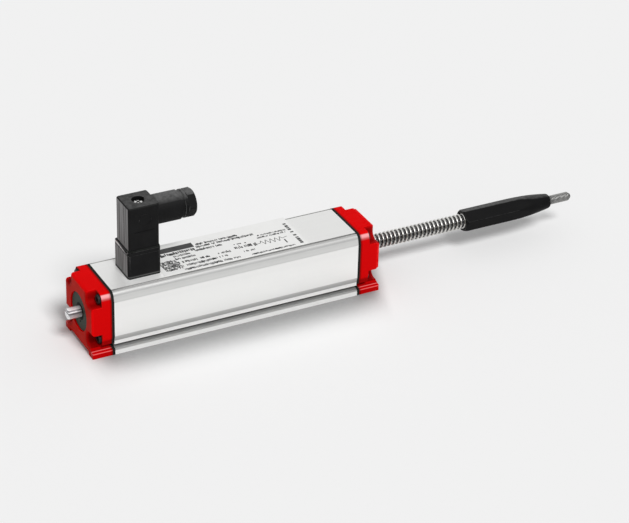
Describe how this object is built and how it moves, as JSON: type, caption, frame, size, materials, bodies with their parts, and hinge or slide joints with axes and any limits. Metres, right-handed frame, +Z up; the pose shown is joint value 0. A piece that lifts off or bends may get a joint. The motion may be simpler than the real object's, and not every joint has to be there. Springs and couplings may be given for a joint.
{
  "type": "displacement sensor",
  "caption": "Spring-loaded linear displacement sensor: extruded housing with end caps, right-angled plug on top, through rod with return spring and threaded tip.",
  "frame": {"origin": "under the middle of the housing's length and width, level with the soles of the two feet", "axes": "+X along the rod towards its tip, +Y towards the side away from the picture's camera, +Z up through the plug"},
  "size_m": [0.2951, 0.0356, 0.0751],
  "materials": {
    "aluminium_profile": "fine drawn and clear anodised, lightly satin",
    "red_cap": "moulded, satin",
    "black_rubber": "matt",
    "black_screw": "black oxide",
    "bush_plastic": "machined, dark grey-green",
    "track_laminate": "laminate with printed tracks",
    "wire_insulation": "plain",
    "connector_plastic": "moulded, fine grain",
    "contact_brass": "plain",
    "bright_steel": "zinc plated",
    "rod_steel": "ground and polished",
    "spring_steel": "drawn wire",
    "carriage_plastic": "moulded, natural",
    "holder_plastic": "moulded, satin",
    "label_paper": "printed film"
  },
  "bodies": {
    "housing": {"housing_profile": "aluminium_profile", "front_gasket": "black_rubber", "rear_gasket": "black_rubber", "front_cap": "red_cap", "rear_cap": "red_cap", "cap_screws": "black_screw", "front_bush": "bush_plastic", "rear_bush": "bush_plastic", "rod_seals": "black_rubber", "resistance_track": "track_laminate", "track_wires": "wire_insulation", "connector_gasket": "black_rubber", "connector_block": "connector_plastic", "block_screws": "bright_steel", "contact_blades": "contact_brass", "plug_gasket": "black_rubber", "plug_housing": "connector_plastic", "contact_insert": "connector_plastic", "terminal_screws": "bright_steel", "plug_screw": "bright_steel", "gland_seal": "black_rubber", "gland_washer": "connector_plastic", "gland_nut": "connector_plastic", "label_film": "label_paper", "return_spring": "spring_steel"},
    "carriage": {"carriage": "carriage_plastic", "wiper_contacts": "contact_brass"},
    "rod": {"guide_rod": "rod_steel", "retaining_rings": "bright_steel", "tip_holder": "holder_plastic", "tip_stud": "bright_steel"}
  },
  "joints": [
    {"name": "rod_slide", "type": "slide", "parent": "housing", "child": "carriage", "axis": [1, 0, 0], "range_m": [-0.05, 0], "stiffness_N_per_m": 200, "springref_m": 0.02, "deforming": ["return_spring"]},
    {"name": "rod_turn", "type": "hinge", "parent": "carriage", "child": "rod", "pos_m": [0, 0, 0.0186], "axis": [1, 0, 0], "continuous": true}
  ]
}
